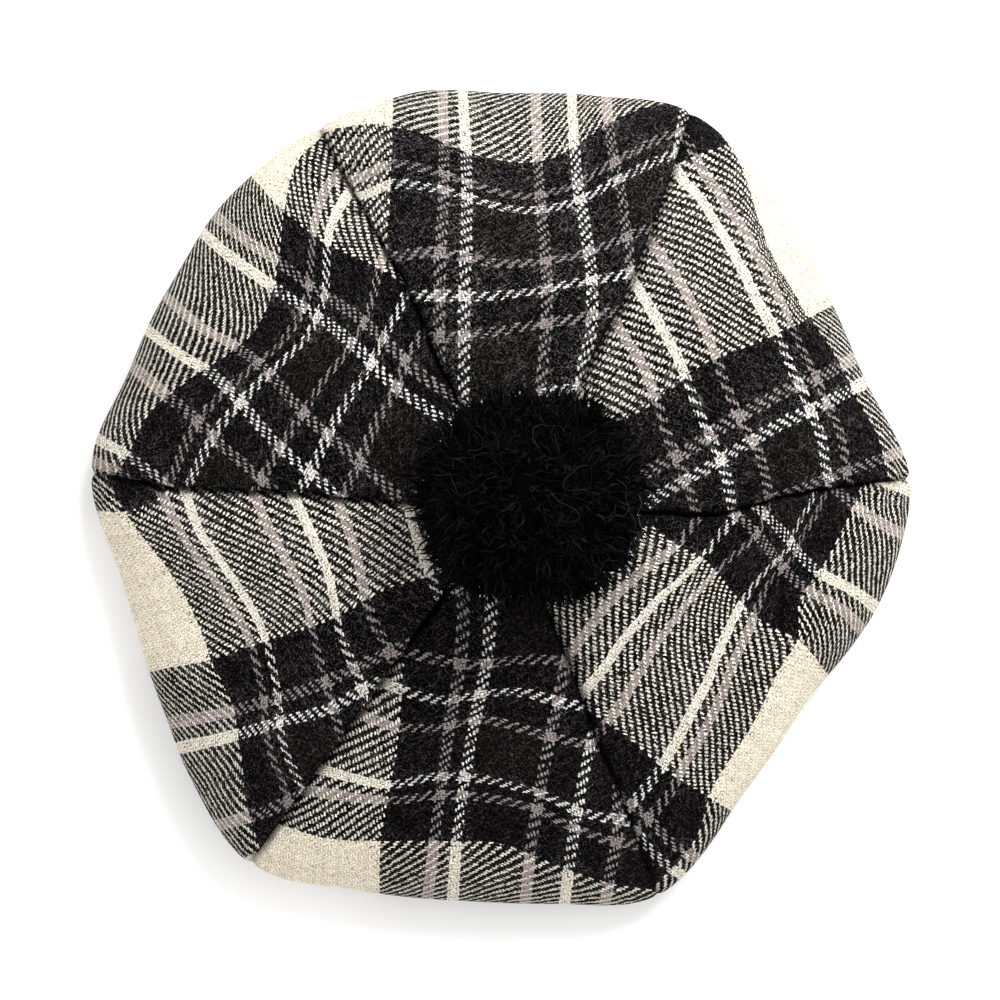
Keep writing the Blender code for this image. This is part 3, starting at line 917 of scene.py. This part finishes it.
# ------------------------------------------------------------------------------------------
# Pompom.  A ball of black wool yarn, tied in the middle and cut, so that its ends stand out
# all round.  It is sewn to the crown over the tips of the gores and leans a little to the
# right.
# ------------------------------------------------------------------------------------------
CROWN_TOP = 61.5
POMPOM_SEED = 11
POMPOM_RADIUS = 40.8
POMPOM_SQUASH = 0.86           # its height over its width
POMPOM_PRESS = 9.0             # how far it is pulled down on the crown
POMPOM_SHIFT = (7.2, 1.4)      # how far it leans from the hub
CORE_SHARE = 0.84              # radius of the dark ball inside over the pompom's
CORE_RING, CORE_ROWS = 40, 20
POMPOM_NARROW = 0.93           # it is not quite as deep as it is wide
YARN_ENDS = 520                # tufts: the cut ends of the yarn, each opened into its strands
POMPOM_STRANDS = 6600
STRAND_STEPS = 6
STRAND_RADIUS = 0.42
STRAND_ROOT = 30.0             # how far from the middle the strands begin
END_LENGTH = (-0.060, 0.020)   # how much a yarn end is shorter or longer, of the radius
STRAND_LENGTH = (-0.03, 0.02)  # the same for its single strands
END_LEAN, STRAND_LEAN = 2.0, 2.3         # how far their tips stray, as a spread
WAVE, WAVE_TURN = 1.8, 8.0     # how far a strand waves, and radians of the wave in its length
LUMP_PITCH = (30.0, 60.0)
LUMP_SPAN, LUMP_SLANT = 40, (17, 23)     # how the waves of its lumps are laid on the ball
GATHER = 0.38                  # how much the strands of a yarn end keep together
END_SCATTER, STRAND_SCATTER = 0.05, 0.02  # how far their directions stray from an even spread
MEAN_LENGTH = 0.97             # of a strand, of the radius
LUMPS, CORNERS = 0.022, 0.02   # how lumpy and how squarish the ball is, of the radius
CORNER_TURN = 0.72             # which way its four corners face, in radians
STRAND_THICKNESS = (0.7, 1.2)  # of the strands, over STRAND_RADIUS

# Hairs that have come loose: how many, how far out they lie over the radius, and how pale the
# few of them are that catch the light.
Hairs = namedtuple("Hairs", "count lie paleness")
HAIRS = (
    Hairs(40, 0.985, 1.0),
    Hairs(90, 0.97, 0.3),
)
PALE_EVERY = 20                # one in so many is pale, and more where they are less so
HAIR_RADIUS = 0.075
HAIR_UPWARD = 0.9              # how many more of them lie on top
HAIR_STEPS = 16
HAIR_STRIDE = 0.040            # length of a step over the pompom's radius
HAIR_BEND, HAIR_KEEP = 0.25, 0.8         # its first bend, and the share that a step keeps of it
HAIR_CURL = 0.24               # how much the bend changes at each step
HAIR_WAVE, HAIR_WAVE_TURN = 0.025, 0.9   # how far a hair waves in and out, and radians to a step
HAIR_STRAY = 0.5
ASIDE = (0.31, 0.52, 0.79)     # a way that hardly any strand runs


def even_directions(count):
    """Directions spread evenly over a ball, in a spiral."""
    number = np.arange(count) + 0.5
    up = 1 - 2 * number / count
    turn = number * math.pi * (3 - math.sqrt(5))
    level = np.sqrt(1 - up * up)
    return np.stack([level * np.cos(turn), level * np.sin(turn), up], axis=1)


def unit(vectors):
    return vectors / np.linalg.norm(vectors, axis=-1, keepdims=True)


def tubes(spine, thickness):
    """Three-sided tubes that end in a point, along spines given as (step, tube, xyz)."""
    steps, count = spine.shape[:2]
    run = unit(np.gradient(spine, axis=0))
    aside = unit(np.cross(run, ASIDE))
    above = np.cross(run, aside)
    rings = []
    for step in range(steps - 1):
        for corner in range(3):
            a = 2 * math.pi * corner / 3
            rings.append(spine[step] + (aside[step] * math.cos(a) + above[step] * math.sin(a))
                         * thickness[:, None])
    points = np.array(rings + [spine[-1]]).transpose(1, 0, 2)
    size = points.shape[1]
    pattern = []
    for step in range(steps - 2):
        for corner in range(3):
            after, low = (corner + 1) % 3, 3 * step
            pattern.append((low + corner, low + after, low + 3 + after, low + 3 + corner))
    low = 3 * (steps - 2)
    for corner in range(3):
        pattern.append((low + corner, low + (corner + 1) % 3, size - 1))
    faces = [tuple(k + tube * size for k in face) for tube in range(count) for face in pattern]
    return points.reshape(-1, 3), faces


def loose_hairs(chance, count, lie):
    """Hairs that have worked out of the ball and lie curled on it."""
    start = unit(chance.normal(0, 1, (count, 3)) + (0, 0, HAIR_UPWARD))
    heading = unit(np.cross(start, chance.normal(0, 1, (count, 3))))
    bend = chance.uniform(-HAIR_BEND, HAIR_BEND, count)
    place, hairs = start.copy(), []
    for step in range(HAIR_STEPS):
        lift = POMPOM_RADIUS * (lie + HAIR_WAVE * math.sin(step * HAIR_WAVE_TURN))
        stray = chance.uniform(-HAIR_STRAY, HAIR_STRAY, count)
        hairs.append(place * (lift + stray)[:, None])
        bend = HAIR_KEEP * bend + chance.normal(0, HAIR_CURL, count)
        aside = np.cross(place, heading)
        heading = unit(heading * np.cos(bend)[:, None] + aside * np.sin(bend)[:, None])
        place = unit(place + heading * HAIR_STRIDE)
        heading = unit(heading - place * np.sum(heading * place, axis=1, keepdims=True))
    return np.array(hairs)


def build_pompom():
    """The cut ends of the yarn, as thin strands that fan out of a core in tufts."""
    chance = np.random.default_rng(POMPOM_SEED)
    ends = unit(even_directions(YARN_ENDS) + chance.normal(0, END_SCATTER, (YARN_ENDS, 3)))
    ways = unit(even_directions(POMPOM_STRANDS)
                + chance.normal(0, STRAND_SCATTER, (POMPOM_STRANDS, 3)))
    end_of = np.argmax(ways @ ends.T, axis=1)
    end_length = chance.uniform(*END_LENGTH, YARN_ENDS)[end_of]
    end_lean = chance.normal(0, END_LEAN, (YARN_ENDS, 3))[end_of]
    lumps = waves(chance, 5, LUMP_PITCH)
    uneven = lumps(ways[:, 0] * LUMP_SPAN + ways[:, 2] * LUMP_SLANT[0],
                   ways[:, 1] * LUMP_SPAN - ways[:, 2] * LUMP_SLANT[1])
    corners = np.cos(4 * (np.arctan2(ways[:, 1], ways[:, 0]) + CORNER_TURN)) \
        * (1 - ways[:, 2] ** 2)
    length = POMPOM_RADIUS * (MEAN_LENGTH + LUMPS * uneven + CORNERS * corners + end_length
                              + chance.uniform(*STRAND_LENGTH, POMPOM_STRANDS))
    stray = chance.normal(0, STRAND_LEAN, (POMPOM_STRANDS, 3))
    curl = chance.uniform(0, 2 * math.pi, POMPOM_STRANDS)
    aside = unit(np.cross(ways, stray))
    spine = []
    for t in np.linspace(0, 1, STRAND_STEPS):
        way = unit(ways + GATHER * t * (ends[end_of] - ways))
        out = STRAND_ROOT + (length - STRAND_ROOT) * t
        wave = WAVE * t * np.sin(curl + WAVE_TURN * t)
        spine.append(way * out[:, None] + (end_lean + stray) * t * t + aside * wave[:, None])
    thickness = STRAND_RADIUS * chance.uniform(*STRAND_THICKNESS, POMPOM_STRANDS)
    strands, faces = tubes(np.array(spine), thickness)
    shade = np.repeat(chance.uniform(0, 1, POMPOM_STRANDS) ** 3, 3 * STRAND_STEPS - 2)
    pale = np.zeros(len(strands))

    hair_points, hair_faces, hair_shade, hair_pale = [], [], [], []
    for count, lie, paleness in HAIRS:
        hairs = loose_hairs(chance, count, lie)
        points, hair_quads = tubes(hairs, np.full(count, HAIR_RADIUS))
        first = len(strands) + sum(map(len, hair_points))
        hair_faces += [tuple(k + first for k in face) for face in hair_quads]
        hair_points.append(points)
        hair_shade.append(np.repeat(chance.uniform(0.4, 1, count), len(points) // count))
        is_pale = np.arange(count) % (PALE_EVERY * paleness) < 1
        hair_pale.append(np.repeat(paleness * is_pale, len(points) // count))
    faces += hair_faces
    hair_points, hair_shade, hair_pale = map(np.concatenate, (hair_points, hair_shade, hair_pale))

    core_at = len(strands) + len(hair_points)
    core = []
    for row in range(CORE_ROWS + 1):
        tilt = math.pi * row / CORE_ROWS
        for cell in range(CORE_RING):
            a = 2 * math.pi * cell / CORE_RING
            core.append((math.sin(tilt) * math.cos(a), math.sin(tilt) * math.sin(a), math.cos(tilt)))
    for row in range(CORE_ROWS):
        for cell in range(CORE_RING):
            after = (cell + 1) % CORE_RING
            here = core_at + row * CORE_RING
            faces.append((here + cell, here + CORE_RING + cell,
                          here + CORE_RING + after, here + after))
    core_radius = POMPOM_RADIUS * CORE_SHARE
    places = np.concatenate([strands, hair_points, np.array(core) * core_radius])
    seat = CROWN_TOP + SEAM_GAP
    centre = seat + POMPOM_SQUASH * POMPOM_RADIUS - POMPOM_PRESS
    x = HUB[0] + POMPOM_SHIFT[0] + places[:, 0]
    y = HUB[1] + POMPOM_SHIFT[1] + places[:, 1] * POMPOM_NARROW
    z = np.maximum(centre + places[:, 2] * POMPOM_SQUASH, seat)
    attributes = {
        "shade": np.concatenate([shade, hair_shade, np.zeros(len(core))]),
        "pale": np.concatenate([pale, hair_pale, np.zeros(len(core))]),
    }
    return mesh_object("pompom_yarn", np.stack([x, y, z], axis=1), faces, 0, attributes)


WOOL_DEEP = (0.0004, 0.0004, 0.0005)
WOOL_LIT = (0.0105, 0.0098, 0.0100)
WOOL_PALE = (0.09, 0.085, 0.08)          # the few long hairs that catch the light


def wool(name):
    finish = Finish(name)
    shade = finish.node("Attribute", {"attribute_name": "shade"}, {}, 2)
    pale = finish.node("Attribute", {"attribute_name": "pale"}, {}, 2)
    place = finish.node("TexCoord", {}, {}, 3)
    fibres = finish.node("TexNoise", {}, {"Vector": place, "Scale": 1600.0, "Detail": 3.0,
                                          "Roughness": 0.6})
    colour = finish.blend(shade * (0.5 + fibres), WOOL_DEEP, WOOL_LIT)
    colour = finish.blend(pale, colour, WOOL_PALE)
    bump = finish.node("Bump", {}, {"Strength": 0.8, "Distance": 0.0003, "Height": fibres})
    return finish.surface({"Base Color": colour, "Roughness": 0.75 + 0.2 * fibres, "Normal": bump},
                          {"Specular IOR Level": 0.02})


pompom = build_pompom()
pompom.data.materials.append(wool("black_wool"))
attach(pompom, "root")
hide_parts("pompom")

# ------------------------------------------------------------------------------------------
# Floor and light.  A plain matt white table, far wider than the picture, under an even white
# sky and one large round lamp, which stands to the upper right and throws soft shadows.
# ------------------------------------------------------------------------------------------
FLOOR_SIDE = 12.0
floor_mesh = bpy.data.meshes.new("floor")
half = FLOOR_SIDE / 2
corners = [(-half, -half, 0), (half, -half, 0), (half, half, 0), (-half, half, 0)]
floor_mesh.from_pydata(corners, [], [(0, 1, 2, 3)])
floor = bpy.data.objects.new("floor", floor_mesh)
bpy.context.scene.collection.objects.link(floor)
table = Finish("pale_table")
grain = table.node("TexNoise", {}, {"Scale": 6.0, "Detail": 2.0})
floor_mesh.materials.append(table.surface(
    {"Base Color": table.blend(grain, (0.93, 0.93, 0.93), (0.97, 0.97, 0.97))},
    {"Roughness": 0.9, "Specular IOR Level": 0.1}))

SKY = 1.16
world = bpy.data.worlds.new("sky")
world.use_nodes = True
world.node_tree.nodes["Background"].inputs["Color"].default_value = (1, 1, 1, 1)
world.node_tree.nodes["Background"].inputs["Strength"].default_value = SKY
bpy.context.scene.world = world
bpy.context.scene.view_settings.view_transform = "Standard"

LAMP_PLACE = (0.6, 1.05, 1.2)
LAMP_SIZE = 1.0
LAMP_POWER = 38.0
lamp_data = bpy.data.lights.new("lamp", "AREA")
lamp_data.shape = "DISK"
lamp_data.size = LAMP_SIZE
lamp_data.energy = LAMP_POWER
lamp = bpy.data.objects.new("lamp", lamp_data)
lamp.location = LAMP_PLACE
lamp.rotation_euler = (-lamp.location).to_track_quat("-Z", "Y").to_euler()
bpy.context.scene.collection.objects.link(lamp)
